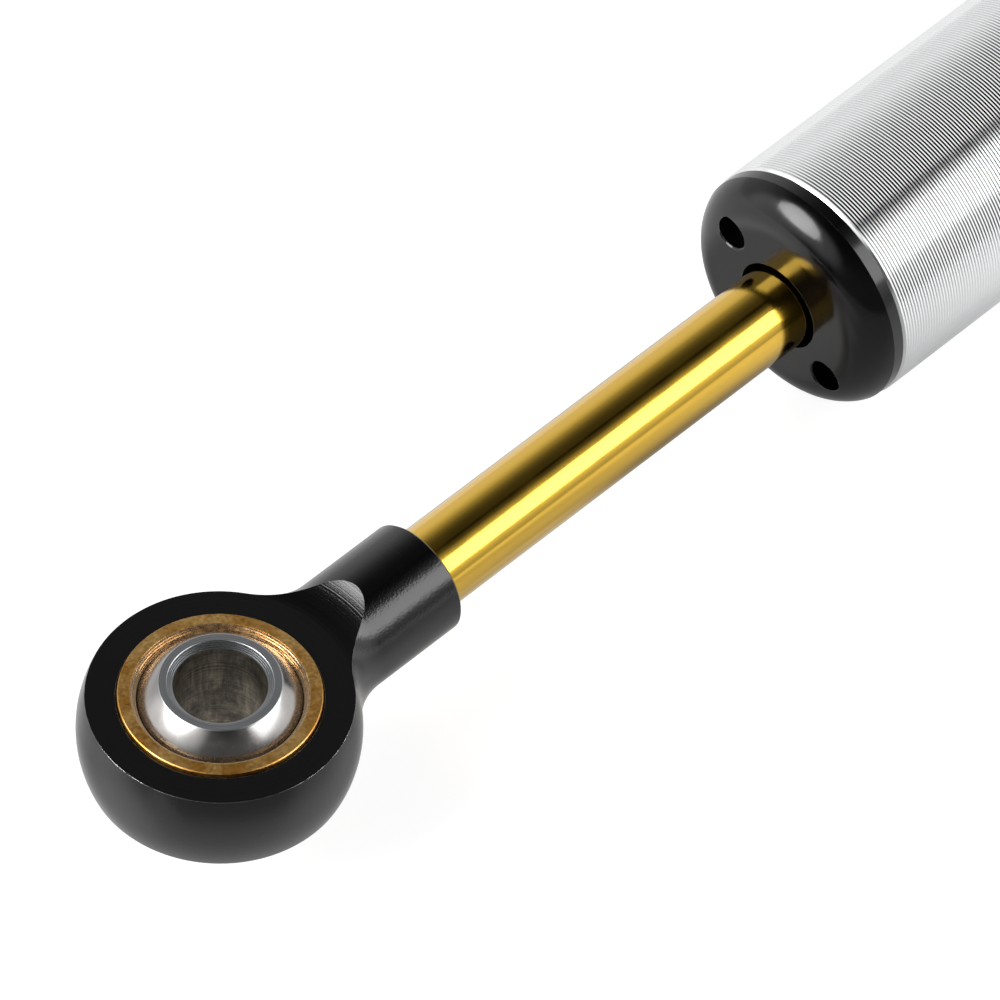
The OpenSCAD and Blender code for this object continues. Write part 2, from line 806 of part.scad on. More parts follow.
module knob_thread_insert() {
    color("#b08d3c") turned(adjuster_x)
        band2d(needle_r + run_fit, insert_r, insert_x, insert_end_x);
}

rod_end_housing();
bearing_race();
bearing_ball();
piston_rod();
piston();
piston_band();
piston_ring_seal();
front_shim();
rear_shim();
front_piston_clip();
rear_piston_clip();
body_tube();
front_cap();
rear_cap();
front_rod_guide();
rear_rod_guide();
front_bush();
rear_bush();
front_rod_seal();
rear_rod_seal();
front_seal_washer();
rear_seal_washer();
front_wiper();
rear_wiper();
front_guide_ring_seal();
rear_guide_ring_seal();
front_bump_stop();
rear_bump_stop();
needle_seat();
metering_needle();
needle_ring_seals();
adjuster_housing();
adjuster_knob();
knob_thread_insert();
knob_snap_ring();
detent_ball();
detent_spring();
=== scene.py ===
import math

import bmesh
import bpy
from mathutils import Matrix, Vector


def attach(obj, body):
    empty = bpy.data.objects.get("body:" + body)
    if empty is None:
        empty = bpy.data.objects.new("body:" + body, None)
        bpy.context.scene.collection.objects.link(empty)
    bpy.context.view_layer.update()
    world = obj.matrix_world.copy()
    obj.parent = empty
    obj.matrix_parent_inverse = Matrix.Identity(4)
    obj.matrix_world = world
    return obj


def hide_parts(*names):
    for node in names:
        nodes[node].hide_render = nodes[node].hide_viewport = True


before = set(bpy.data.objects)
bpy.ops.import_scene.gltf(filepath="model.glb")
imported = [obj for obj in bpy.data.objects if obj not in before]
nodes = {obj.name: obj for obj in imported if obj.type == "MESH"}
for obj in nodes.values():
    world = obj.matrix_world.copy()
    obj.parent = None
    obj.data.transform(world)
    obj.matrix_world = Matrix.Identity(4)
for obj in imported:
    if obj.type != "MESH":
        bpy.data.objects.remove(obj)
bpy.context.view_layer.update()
scene = bpy.context.scene
print("frame loaded:", len(nodes), "nodes")

mm = 0.001  # the frame is in metres


def linearColour(hexColour):
    # an sRGB hex value as the linear colour that a shader socket takes
    parts = [int(hexColour[i:i + 2], 16) / 255 for i in (1, 3, 5)]
    return [p / 12.92 if p <= 0.04045 else ((p + 0.055) / 1.055) ** 2.4 for p in parts] + [1.0]


def addNode(tree, kind, settings=None, values=None):
    # adds a node; a value that is a node or a socket is linked, any other is set on the input
    made = tree.nodes.new(kind)
    for name, value in (settings or {}).items():
        setattr(made, name, value)
    for name, value in (values or {}).items():
        if isinstance(value, bpy.types.Node):
            value = value.outputs[0]
        if isinstance(value, bpy.types.NodeSocket):
            tree.links.new(value, made.inputs[name])
        else:
            made.inputs[name].default_value = value
    return made


smoothStep = {"interpolation_type": "SMOOTHSTEP"}
multiply = {"operation": "MULTIPLY"}
white = linearColour("#ffffff")


def perMetre(sizeInMm):
    # texture scale at which a pattern repeats about once in this many millimetres
    return 1000 / sizeInMm


def newSurface(name, colour, metallic, roughness, ior=None):
    # a Principled surface with its even values set; returns material, tree, shader and object coordinates
    material = bpy.data.materials.new(name)
    material.use_nodes = True
    tree = material.node_tree
    tree.nodes.clear()
    shader = addNode(tree, "ShaderNodeBsdfPrincipled", values={
        "Base Color": linearColour(colour), "Metallic": metallic, "Roughness": roughness})
    if ior:
        shader.inputs["IOR"].default_value = ior
    addNode(tree, "ShaderNodeOutputMaterial", values={"Surface": shader})
    coords = addNode(tree, "ShaderNodeTexCoord").outputs["Object"]
    return material, tree, shader, coords


# Camera at the photograph's place and angle
cameraLook = {
    "place": (-0.355597, -0.351191, 0.626004),
    "right": (0.701713, -0.711492, 0.037127),
    "up": (0.528766, 0.555008, 0.642162),
    "forward": (0.477499, 0.430982, -0.765669),
    "lens": 342.835,
    "sensor": 36.0,
    "clip": (0.05, 50.0),
}
cameraData = bpy.data.cameras.new("camera")
cameraData.lens = cameraLook["lens"]
cameraData.sensor_width = cameraLook["sensor"]
cameraData.sensor_fit = "HORIZONTAL"
cameraData.clip_start, cameraData.clip_end = cameraLook["clip"]
camera = bpy.data.objects.new("camera", cameraData)
scene.collection.objects.link(camera)
turn = Matrix((cameraLook["right"], cameraLook["up"], -Vector(cameraLook["forward"]))).transposed()
camera.matrix_world = Matrix.Translation(cameraLook["place"]) @ turn.to_4x4()
scene.camera = camera
scene.view_settings.view_transform = "Standard"
print("camera placed")

# Studio: a white floor under the part, two softboxes and a dim room round them
studio = {
    "floorZ": -12.1 * mm,
    "floorReach": 3.0,
    "floorMiddleX": 0.1,
    "floorColour": "#a2a2a2",
    "floorRoughness": 0.30,
    "floorLift": 0.78,  # added white that the camera sees, so that the sheet reads as white
    "floorGlossLift": 0.46,  # painted light: white glow added where reflections see the sheet, on the sides away from the camera
    "floorNearLift": 0.33,  # painted light: the same glow close round the eye and under the rod
    # where each lift begins and is full; places in X count from the floor's middle
    "behindRange": {"From Min": 14 * mm, "From Max": 25 * mm},
    "rearRange": {"From Min": -45 * mm, "From Max": 0.0},
    "eyeX": -100 * mm,
    "nearEyeRange": {"From Min": 48 * mm, "From Max": 22 * mm},
    "underRodY": -7 * mm,
    "underRodRange": {"From Min": 9 * mm, "From Max": 4 * mm},
    "beforeCapRange": {"From Min": -58 * mm, "From Max": -44 * mm, "To Min": 1.0, "To Max": 0.0},
    "fadeRange": {"From Min": 0.3, "From Max": 1.2, "To Max": 0.4},
    # name, azimuth and elevation in degrees, shape, width and height, level
    "softboxes": [
        ("keySoftbox", (-51, 33), "RECTANGLE", (1.12, 0.56), 3.9),
        ("sideSoftbox", (150, 41), "ELLIPSE", (0.92, 0.74), 7.0),
    ],
    "boxDistance": 1.15,
    # soft spill of the boxes on the room: direction, level, full within and none past these degrees
    "spills": [
        ((-51, 33), 0.45, 12, 32), ((150, 38), 3.5, 8, 24),
        ((172, 34), 1.0, 13, 31), ((138, 14), 1.1, 12, 32),
    ],
    # the room by direction: a wall that brightens one way, darker overhead, brighter past the knob
    "wallTowards": (1.25, 0.75, 0.0),
    "wallRange": {"From Min": -0.62, "From Max": 0.45, "To Min": 0.16, "To Max": 0.95},
    "overheadRange": {"From Min": 0.32, "From Max": 0.91, "To Min": 1.0, "To Max": 0.04},
    "farEndRange": {"From Min": 0.0, "From Max": 0.9, "To Min": 0.78, "To Max": 1.22},
    "gapY": -0.075,
    "gapRange": {"From Min": 0.015, "From Max": 0.075, "To Min": 0.20, "To Max": 1.0},
}


def aim(direction):
    # unit vector of an azimuth and an elevation
    azimuth, elevation = (math.radians(a) for a in direction)
    level = math.cos(elevation)
    return Vector((math.cos(azimuth) * level, math.sin(azimuth) * level, math.sin(elevation)))


def addSoftbox(name, direction, shape, size, level):
    # level is the brightness of the box's face beside a white of 1
    away = aim(direction)
    data = bpy.data.lights.new(name, "AREA")
    data.shape = shape
    data.size, data.size_y = size
    data.energy = level * math.pi * size[0] * size[1] * (math.pi / 4 if shape == "ELLIPSE" else 1)
    box = bpy.data.objects.new(name, data)
    scene.collection.objects.link(box)
    box.location = away * studio["boxDistance"]
    box.rotation_euler = away.to_track_quat("Z", "Y").to_euler()
    box.visible_camera = False


for softbox in studio["softboxes"]:
    addSoftbox(*softbox)

world = bpy.data.worlds.new("studioRoom")
scene.world = world
world.use_nodes = True
tree = world.node_tree
tree.nodes.clear()
outward = addNode(tree, "ShaderNodeTexCoord").outputs["Generated"]
direction = addNode(tree, "ShaderNodeSeparateXYZ", values={0: outward})
# bright wall beyond the part, dim on the camera's side and overhead
beyond = addNode(tree, "ShaderNodeVectorMath", {"operation": "DOT_PRODUCT"}, {
    0: outward, 1: studio["wallTowards"]})
wall = addNode(tree, "ShaderNodeMapRange", smoothStep, {
    "Value": beyond.outputs["Value"], **studio["wallRange"]})
height = addNode(tree, "ShaderNodeMapRange", smoothStep, {
    "Value": direction.outputs["Z"], **studio["overheadRange"]})
farEnd = addNode(tree, "ShaderNodeMapRange", values={
    "Value": direction.outputs["X"], **studio["farEndRange"]})
# a dark gap between the far wall and the key box, which the tube's rings gather into one dark line
offGap = addNode(tree, "ShaderNodeMath", {"operation": "ABSOLUTE"}, {
    0: addNode(tree, "ShaderNodeMath", {"operation": "SUBTRACT"}, {
        0: direction.outputs["Y"], 1: studio["gapY"]})})
gap = addNode(tree, "ShaderNodeMapRange", smoothStep, {"Value": offGap, **studio["gapRange"]})
room = addNode(tree, "ShaderNodeMath", multiply, {0: wall, 1: height})
for share in (farEnd, gap):
    room = addNode(tree, "ShaderNodeMath", multiply, {0: room, 1: share})
for centre, level, inside, outside in studio["spills"]:
    nearBox = addNode(tree, "ShaderNodeVectorMath", {"operation": "DOT_PRODUCT"}, {
        0: outward, 1: aim(centre)})
    spill = addNode(tree, "ShaderNodeMapRange", smoothStep, {
        "Value": nearBox.outputs["Value"], "From Min": math.cos(math.radians(outside)),
        "From Max": math.cos(math.radians(inside)), "To Max": level})
    room = addNode(tree, "ShaderNodeMath", {"operation": "ADD"}, {0: room, 1: spill})
roomLight = addNode(tree, "ShaderNodeBackground", values={"Color": white, "Strength": room})
# past the floor the camera sees plain white
whiteSheet = addNode(tree, "ShaderNodeBackground", values={"Color": white})
worldMix = addNode(tree, "ShaderNodeMixShader", values={
    0: addNode(tree, "ShaderNodeLightPath").outputs["Is Camera Ray"], 1: roomLight, 2: whiteSheet})
addNode(tree, "ShaderNodeOutputWorld", values={"Surface": worldMix})

# White laminate, pressed with a satin face: it keeps the part's soft shadow and mirrors it faintly
bpy.ops.mesh.primitive_circle_add(
    vertices=64, radius=studio["floorReach"], fill_type="NGON",
    location=(studio["floorMiddleX"], 0, studio["floorZ"]))
floor = bpy.context.object
floor.name = "floor"
floorMaterial, tree, shader, coords = newSurface(
    "whiteSatinLaminate", studio["floorColour"], 0.0, studio["floorRoughness"])
path = addNode(tree, "ShaderNodeLightPath")
seen = addNode(tree, "ShaderNodeMath", multiply, {0: path.outputs["Is Camera Ray"], 1: studio["floorLift"]})
mirrored = addNode(tree, "ShaderNodeMath", {"operation": "ADD"}, {
    0: path.outputs["Is Glossy Ray"], 1: path.outputs["Is Transmission Ray"]})
# painted light: beyond the part and under its rear end the sheet gets a glow that only reflections see; in
# front of the eye it gets none
place = addNode(tree, "ShaderNodeSeparateXYZ", values={0: coords})
behind = addNode(tree, "ShaderNodeMapRange", smoothStep, {
    "Value": place.outputs["Y"], "To Max": studio["floorGlossLift"], **studio["behindRange"]})
rear = addNode(tree, "ShaderNodeMapRange", smoothStep, {
    "Value": place.outputs["X"], "To Max": studio["floorGlossLift"], **studio["rearRange"]})
fromEye = addNode(tree, "ShaderNodeVectorMath", {"operation": "DISTANCE"}, {
    0: coords, 1: (studio["eyeX"], 0, 0)})
nearEye = addNode(tree, "ShaderNodeMapRange", smoothStep, {
    "Value": fromEye.outputs["Value"], "To Max": studio["floorNearLift"], **studio["nearEyeRange"]})
fromRod = addNode(tree, "ShaderNodeMath", {"operation": "ABSOLUTE"}, {
    0: addNode(tree, "ShaderNodeMath", {"operation": "SUBTRACT"}, {
        0: place.outputs["Y"], 1: studio["underRodY"]})})
underRod = addNode(tree, "ShaderNodeMapRange", smoothStep, {
    "Value": fromRod, "To Max": studio["floorNearLift"], **studio["underRodRange"]})
beforeCap = addNode(tree, "ShaderNodeMapRange", smoothStep, {
    "Value": place.outputs["X"], **studio["beforeCapRange"]})
near = addNode(tree, "ShaderNodeMath", {"operation": "MAXIMUM"}, {
    0: nearEye, 1: addNode(tree, "ShaderNodeMath", multiply, {0: underRod, 1: beforeCap})})
away = addNode(tree, "ShaderNodeMath", {"operation": "MAXIMUM"}, {0: behind, 1: rear})
# painted light: where the glow that reflections see is strong, close to the part and away from the camera
lit = addNode(tree, "ShaderNodeMath", {"operation": "MAXIMUM"}, {0: away, 1: near})
lift = addNode(tree, "ShaderNodeMath", {"operation": "MULTIPLY_ADD"}, {0: mirrored, 1: lit, 2: seen})
# the sheet fades to plain white far from the part
distance = addNode(tree, "ShaderNodeVectorMath", {"operation": "LENGTH"}, {0: coords})
far = addNode(tree, "ShaderNodeMapRange", smoothStep, {
    "Value": distance.outputs["Value"], **studio["fadeRange"]})
farSeen = addNode(tree, "ShaderNodeMath", {"operation": "MULTIPLY_ADD"}, {
    0: far, 1: path.outputs["Is Camera Ray"], 2: lift})
glow = addNode(tree, "ShaderNodeEmission", values={"Color": white, "Strength": farSeen})
both = addNode(tree, "ShaderNodeAddShader", values={0: shader, 1: glow})
tree.links.new(both.outputs[0], tree.nodes["Material Output"].inputs["Surface"])
floor.data.materials.append(floorMaterial)
print("studio lit")

# Materials

noiseSpread = {"From Min": 0.3, "From Max": 0.7}  # most of a noise texture's values lie between these


def wornEdge(tree, coords, width):
    # share of bare metal along crisp edges: a rounded normal differs from the plain one only there
    rounded = addNode(tree, "ShaderNodeBevel", {"samples": 6}, {"Radius": width * mm})
    plain = addNode(tree, "ShaderNodeNewGeometry")
    facing = addNode(tree, "ShaderNodeVectorMath", {"operation": "DOT_PRODUCT"}, {
        0: rounded, 1: plain.outputs["Normal"]})
    edge = addNode(tree, "ShaderNodeMapRange", values={
        "Value": facing.outputs["Value"], "From Min": 0.985, "From Max": 0.90})
    chips = addNode(tree, "ShaderNodeTexNoise", values={
        "Vector": coords, "Scale": perMetre(0.9), "Detail": 3.0})
    worn = addNode(tree, "ShaderNodeMapRange", values={
        "Value": chips, "From Min": 0.40, "From Max": 0.55, "To Min": 0.15, "To Max": 0.85})
    share = addNode(tree, "ShaderNodeMath", multiply, {0: edge, 1: worn})
    return share, rounded


def radiusRoundZ(tree, coords):
    # distance from the bolt hole's axis, for tool marks that run round it
    place = addNode(tree, "ShaderNodeSeparateXYZ", values={0: coords})
    return addNode(tree, "ShaderNodeVectorMath", {"operation": "LENGTH"}, {
        0: addNode(tree, "ShaderNodeCombineXYZ", values={"X": place.outputs["X"], "Y": place.outputs["Y"]})})


def feed(shader, sockets):
    # links sockets to a shader's inputs
    for name, socket in sockets.items():
        shader.id_data.links.new(socket, shader.inputs[name])


# Black anodised aluminium, blasted before it was dyed: deep satin black whose highlights look grainy
blackLook = {
    "colour": "#040405",
    "wornColour": "#c4c6c8",
    "edgeWidth": 0.05,  # mm of worn edge
    "grainSize": 0.19,  # mm, blasted grain; the real one is near 0.05 mm, drawn as coarse as it shows
    "grainDepth": 0.019,  # mm
    "grainGloss": {"To Min": 0.07, "To Max": 0.13},
    "latheArcPitch": 0.16,  # mm between facing marks
    "latheArcDepth": 0.006,  # mm
    "flatRange": {"From Min": 0.97, "From Max": 0.995},  # of the normal's Z, on the flats
    "levelRange": {"From Min": 0.55, "From Max": 0.70},  # of the normal's Z, on the tongue
    "leanRange": {"From Min": -0.05, "From Max": -0.18},  # of the normal's X there
    "tongueShare": 0.6,  # how much of the facing marks the tongue keeps
    "tongueRange": {"From Min": 12.6 * mm, "From Max": 17.2 * mm},  # from the eye's centre
    "tongueRise": 0.50,  # mm
    "tongueDepth": 0.030,  # mm
    "tongueRoughness": 0.22,
}
blackAnodised, tree, shader, coords = newSurface("satinBlackAnodisedAluminium", "#030304", 0.0, 0.15, 1.5)
worn, rounded = wornEdge(tree, coords, blackLook["edgeWidth"])
grain = addNode(tree, "ShaderNodeTexNoise", values={
    "Vector": coords, "Scale": perMetre(blackLook["grainSize"]), "Detail": 2.0, "Roughness": 0.6})
flatRadius = radiusRoundZ(tree, coords)
arcs = addNode(tree, "ShaderNodeTexNoise", {"noise_dimensions": "1D"}, {
    "W": flatRadius.outputs["Value"], "Scale": perMetre(blackLook["latheArcPitch"]), "Detail": 2.0})
upward = addNode(tree, "ShaderNodeSeparateXYZ", values={
    0: addNode(tree, "ShaderNodeNewGeometry").outputs["Normal"]})
levelness = addNode(tree, "ShaderNodeMath", {"operation": "ABSOLUTE"}, {0: upward.outputs["Z"]})
onFlat = addNode(tree, "ShaderNodeMapRange", values={"Value": levelness, **blackLook["flatRange"]})
# the tongue, where the facing tool ran out up the neck: it leans back to the eye and keeps the arcs
leansBack = addNode(tree, "ShaderNodeMapRange", values={
    "Value": upward.outputs["X"], **blackLook["leanRange"]})
facesUp = addNode(tree, "ShaderNodeMapRange", values={"Value": levelness, **blackLook["levelRange"]})
onTongue = addNode(tree, "ShaderNodeMath", multiply, {0: leansBack, 1: facesUp})
faced = addNode(tree, "ShaderNodeMath", {"operation": "MAXIMUM"}, {
    0: onFlat, 1: addNode(tree, "ShaderNodeMath", multiply, {0: onTongue, 1: blackLook["tongueShare"]})})
runOut = addNode(tree, "ShaderNodeMapRange", values={
    "Value": flatRadius.outputs["Value"], **blackLook["tongueRange"]})
rise = addNode(tree, "ShaderNodeMath", multiply, {
    0: onTongue, 1: addNode(tree, "ShaderNodeMath", {"operation": "POWER"}, {0: runOut, 1: 2.0})})
tongueLift = addNode(tree, "ShaderNodeBump", values={
    "Height": rise, "Distance": blackLook["tongueRise"] * mm, "Normal": rounded})
relief = addNode(tree, "ShaderNodeMix", values={0: faced, 2: grain, 3: arcs})
satin = addNode(tree, "ShaderNodeMapRange", values={"Value": grain, **noiseSpread, **blackLook["grainGloss"]})
satin = addNode(tree, "ShaderNodeMix", values={0: onTongue, 2: satin, 3: blackLook["tongueRoughness"]})
depth = addNode(tree, "ShaderNodeMix", values={
    0: faced, 2: blackLook["grainDepth"] * mm, 3: blackLook["latheArcDepth"] * mm})
depth = addNode(tree, "ShaderNodeMix", values={0: onTongue, 2: depth, 3: blackLook["tongueDepth"] * mm})
bump = addNode(tree, "ShaderNodeBump", values={
    "Height": relief, "Distance": depth, "Strength": 0.9, "Normal": tongueLift})
colour = addNode(tree, "ShaderNodeMix", {"data_type": "RGBA"}, {
    0: worn, 6: linearColour(blackLook["colour"]), 7: linearColour(blackLook["wornColour"])})
feed(shader, {
    "Base Color": colour.outputs[2], "Metallic": worn.outputs[0], "Roughness": satin.outputs[0],
    "Normal": bump.outputs[0]})

# Bright-dipped and dyed cap: polished aluminium under a gloss black oxide, mirror-like with soft edges
capLook = {
    "colour": "#040405",
    "wornColour": "#9a9da0",
    "edgeWidth": 0.06,  # mm
    "driftSize": 1.6,  # mm between cloudy patches of the polish
    "driftDepth": 0.004,  # mm
    "gloss": {"To Min": 0.12, "To Max": 0.18},
}
glossBlack, tree, shader, coords = newSurface("glossBlackAnodisedAluminium", "#030304", 0.0, 0.13, 1.45)
worn, rounded = wornEdge(tree, coords, capLook["edgeWidth"])
drift = addNode(tree, "ShaderNodeTexNoise", values={
    "Vector": coords, "Scale": perMetre(capLook["driftSize"]), "Detail": 3.0})
gloss = addNode(tree, "ShaderNodeMapRange", values={"Value": drift, **noiseSpread, **capLook["gloss"]})
bump = addNode(tree, "ShaderNodeBump", values={
    "Height": drift, "Distance": capLook["driftDepth"] * mm, "Strength": 0.5, "Normal": rounded})
colour = addNode(tree, "ShaderNodeMix", {"data_type": "RGBA"}, {
    0: worn, 6: linearColour(capLook["colour"]), 7: linearColour(capLook["wornColour"])})
feed(shader, {
    "Base Color": colour.outputs[2], "Roughness": gloss.outputs[0], "Normal": bump.outputs[0]})

# Gold nitride coating on ground steel: a clear mirror with fine grinding marks round the rod
rodLook = {
    "colour": "#d3a92a",
    "coatWeight": 0.5,
    "coatIor": 1.75,
    "coatRoughness": 0.10,
    "grindMark": 0.07,  # mm between grinding marks
    "grindDepth": 0.0012,  # mm
    "cloudSize": 3.0,  # mm
    "gloss": {"To Min": 0.10, "To Max": 0.16},
}
goldRod, tree, shader, coords = newSurface("goldNitrideCoatedSteel", rodLook["colour"], 1.0, 0.13)
shader.inputs["Coat Weight"].default_value = rodLook["coatWeight"]
shader.inputs["Coat IOR"].default_value = rodLook["coatIor"]
shader.inputs["Coat Roughness"].default_value = rodLook["coatRoughness"]
along = addNode(tree, "ShaderNodeSeparateXYZ", values={0: coords})
marks = addNode(tree, "ShaderNodeTexNoise", {"noise_dimensions": "1D"}, {
    "W": along.outputs["X"], "Scale": perMetre(rodLook["grindMark"]), "Detail": 3.0})
cloud = addNode(tree, "ShaderNodeTexNoise", values={
    "Vector": coords, "Scale": perMetre(rodLook["cloudSize"]), "Detail": 2.0})
gloss = addNode(tree, "ShaderNodeMapRange", values={"Value": cloud, **noiseSpread, **rodLook["gloss"]})
bump = addNode(tree, "ShaderNodeBump", values={
    "Height": marks, "Distance": rodLook["grindDepth"] * mm, "Strength": 0.6})
feed(shader, {"Roughness": gloss.outputs[0], "Normal": bump.outputs[0]})

# Fine-turned aluminium, left bright: the rings themselves are in the mesh, so this only varies the gloss
tubeLook = {"colour": "#e8e9ea", "chatterSize": 1.2, "gloss": {"To Min": 0.12, "To Max": 0.19}}
turnedAluminium, tree, shader, coords = newSurface("brightTurnedAluminium", tubeLook["colour"], 1.0, 0.13)
chatter = addNode(tree, "ShaderNodeTexNoise", values={
    "Vector": coords, "Scale": perMetre(tubeLook["chatterSize"]), "Detail": 3.0})
gloss = addNode(tree, "ShaderNodeMapRange", values={"Value": chatter, **noiseSpread, **tubeLook["gloss"]})
feed(shader, {"Roughness": gloss.outputs[0]})

# Sintered bronze, faced and pressed in: matt gold brown with small scuffs
bronzeLook = {
    "darkPatch": "#b8843c",
    "lightPatch": "#dab06c",
    "patchSize": 2.5,  # mm
    "scuffSize": 0.35,  # mm
    "scuffDepth": 0.024,  # mm
    "gloss": {"To Min": 0.26, "To Max": 0.52},
}
bronze, tree, shader, coords = newSurface("facedBearingBronze", "#cf9d55", 1.0, 0.45)
scuffs = addNode(tree, "ShaderNodeTexNoise", values={
    "Vector": coords, "Scale": perMetre(bronzeLook["scuffSize"]), "Detail": 4.0, "Roughness": 0.65})
patches = addNode(tree, "ShaderNodeTexNoise", values={
    "Vector": coords, "Scale": perMetre(bronzeLook["patchSize"]), "Detail": 2.0})
tone = addNode(tree, "ShaderNodeMapRange", values={"Value": patches, "From Min": 0.35, "From Max": 0.65})
colour = addNode(tree, "ShaderNodeMix", {"data_type": "RGBA"}, {
    0: tone, 6: linearColour(bronzeLook["darkPatch"]), 7: linearColour(bronzeLook["lightPatch"])})
rough = addNode(tree, "ShaderNodeMapRange", values={"Value": scuffs, **noiseSpread, **bronzeLook["gloss"]})
bump = addNode(tree, "ShaderNodeBump", values={
    "Height": scuffs, "Distance": bronzeLook["scuffDepth"] * mm, "Strength": 0.9})
feed(shader, {
    "Base Color": colour.outputs[2], "Roughness": rough.outputs[0], "Normal": bump.outputs[0]})

# The same bronze cut at the lip, with crisp tool marks and more gloss; its brighter, paler colour is a
# painted highlight standing in for the glints on the ridges
lipLook = {
    # painted highlight: paler than the bronze of the face
    "colour": "#f2d1a6",
    "markPitch": 0.09,  # mm
    "markDepth": 0.004,  # mm
    "cloudSize": 0.5,  # mm
    "gloss": {"To Min": 0.20, "To Max": 0.36},
}
cutBronze, tree, shader, coords = newSurface("turnedBearingBronze", lipLook["colour"], 1.0, 0.26)
place = addNode(tree, "ShaderNodeSeparateXYZ", values={0: coords})
marks = addNode(tree, "ShaderNodeTexNoise", {"noise_dimensions": "1D"}, {
    "W": place.outputs["Z"], "Scale": perMetre(lipLook["markPitch"]), "Detail": 2.0})
bump = addNode(tree, "ShaderNodeBump", values={
    "Height": marks, "Distance": lipLook["markDepth"] * mm, "Strength": 0.7})
cloud = addNode(tree, "ShaderNodeTexNoise", values={
    "Vector": coords, "Scale": perMetre(lipLook["cloudSize"]), "Detail": 3.0})
gloss = addNode(tree, "ShaderNodeMapRange", values={"Value": cloud, **noiseSpread, **lipLook["gloss"]})
feed(shader, {"Roughness": gloss.outputs[0], "Normal": bump.outputs[0]})

# Hardened bearing steel, ground to a ball: bright and smooth with a soft sheen; its grey is tinted slightly
# warm, a painted reflection of the bronze race
ballLook = {"colour": "#a09e9c", "hazeSize": 1.5, "gloss": {"To Min": 0.19, "To Max": 0.29}}
groundSteel, tree, shader, coords = newSurface("groundBearingSteel", ballLook["colour"], 1.0, 0.24)
haze = addNode(tree, "ShaderNodeTexNoise", values={
    "Vector": coords, "Scale": perMetre(ballLook["hazeSize"]), "Detail": 4.0})
gloss = addNode(tree, "ShaderNodeMapRange", values={"Value": haze, **noiseSpread, **ballLook["gloss"]})
feed(shader, {"Roughness": gloss.outputs[0]})

# The ball's face and hole edge, turned: satin grey with fine rings
faceLook = {"colour": "#a6a8aa", "roughness": 0.32, "ringPitch": 0.11, "ringDepth": 0.02}
facedSteel, tree, shader, coords = newSurface(
    "facedBearingSteel", faceLook["colour"], 1.0, faceLook["roughness"])
rings = addNode(tree, "ShaderNodeTexNoise", {"noise_dimensions": "1D"}, {
    "W": radiusRoundZ(tree, coords).outputs["Value"], "Scale": perMetre(faceLook["ringPitch"]),
    "Detail": 2.0})
bump = addNode(tree, "ShaderNodeBump", values={
    "Height": rings, "Distance": faceLook["ringDepth"] * mm, "Strength": 0.8})
feed(shader, {"Normal": bump.outputs[0]})

# The bolt hole as reamed and hardened: brown grey scale, cloudy, with drag marks along the hole and
# tool rings round it
holeLook = {
    "darkScale": "#373431",
    "lightScale": "#a59b89",
    "roughness": 0.46,
    "dragSize": 0.45,  # mm across a drag mark, which is several times as long
    "dragStretch": (1.0, 1.0, 0.16),
    "cloudSize": 2.4,  # mm
    "ringPitch": 0.22,  # mm
    "ringShare": 0.35,  # tool rings beside drag marks
    "depth": 0.05,  # mm
}
reamedHole, tree, shader, coords = newSurface("reamedScaledSteel", "#5d5248", 1.0, holeLook["roughness"])
stretched = addNode(tree, "ShaderNodeMapping", values={"Vector": coords, "Scale": holeLook["dragStretch"]})
drag = addNode(tree, "ShaderNodeTexNoise", values={
    "Vector": stretched, "Scale": perMetre(holeLook["dragSize"]), "Detail": 6.0, "Roughness": 0.75,
    "Distortion": 0.6})
clouds = addNode(tree, "ShaderNodeTexNoise", values={
    "Vector": coords, "Scale": perMetre(holeLook["cloudSize"]), "Detail": 5.0, "Roughness": 0.7})
alongHole = addNode(tree, "ShaderNodeSeparateXYZ", values={0: coords})
toolRings = addNode(tree, "ShaderNodeTexNoise", {"noise_dimensions": "1D"}, {
    "W": alongHole.outputs["Z"], "Scale": perMetre(holeLook["ringPitch"]), "Detail": 3.0})
streaks = addNode(tree, "ShaderNodeMix", values={0: holeLook["ringShare"], 2: drag, 3: toolRings})
scale = addNode(tree, "ShaderNodeMath", multiply, {
    0: addNode(tree, "ShaderNodeMapRange", values={
        "Value": streaks, "From Min": 0.36, "From Max": 0.66, "To Min": 0.1, "To Max": 1.0}),
    1: addNode(tree, "ShaderNodeMapRange", values={
        "Value": clouds, "From Min": 0.34, "From Max": 0.62, "To Min": 0.15, "To Max": 1.0})})
colour = addNode(tree, "ShaderNodeMix", {"data_type": "RGBA"}, {
    0: scale, 6: linearColour(holeLook["darkScale"]), 7: linearColour(holeLook["lightScale"])})
bump = addNode(tree, "ShaderNodeBump", values={
    "Height": streaks, "Distance": holeLook["depth"] * mm, "Strength": 0.9})
feed(shader, {"Base Color": colour.outputs[2], "Normal": bump.outputs[0]})


def plainFinish(name, colour, metallic, low, high, grainMm, depthMm, ior=None):
    # a finish whose roughness, from low to high, and relief follow one grain, for the pieces inside
    material, tree, shader, coords = newSurface(name, colour, metallic, (low + high) / 2, ior)
    grain = addNode(tree, "ShaderNodeTexNoise", values={
        "Vector": coords, "Scale": perMetre(grainMm), "Detail": 3.0})
    rough = addNode(tree, "ShaderNodeMapRange", values={
        "Value": grain, **noiseSpread, "To Min": low, "To Max": high})
    bump = addNode(tree, "ShaderNodeBump", values={
        "Height": grain, "Distance": depthMm * mm, "Strength": 0.7})
    feed(shader, {"Roughness": rough.outputs[0], "Normal": bump.outputs[0]})
    return material


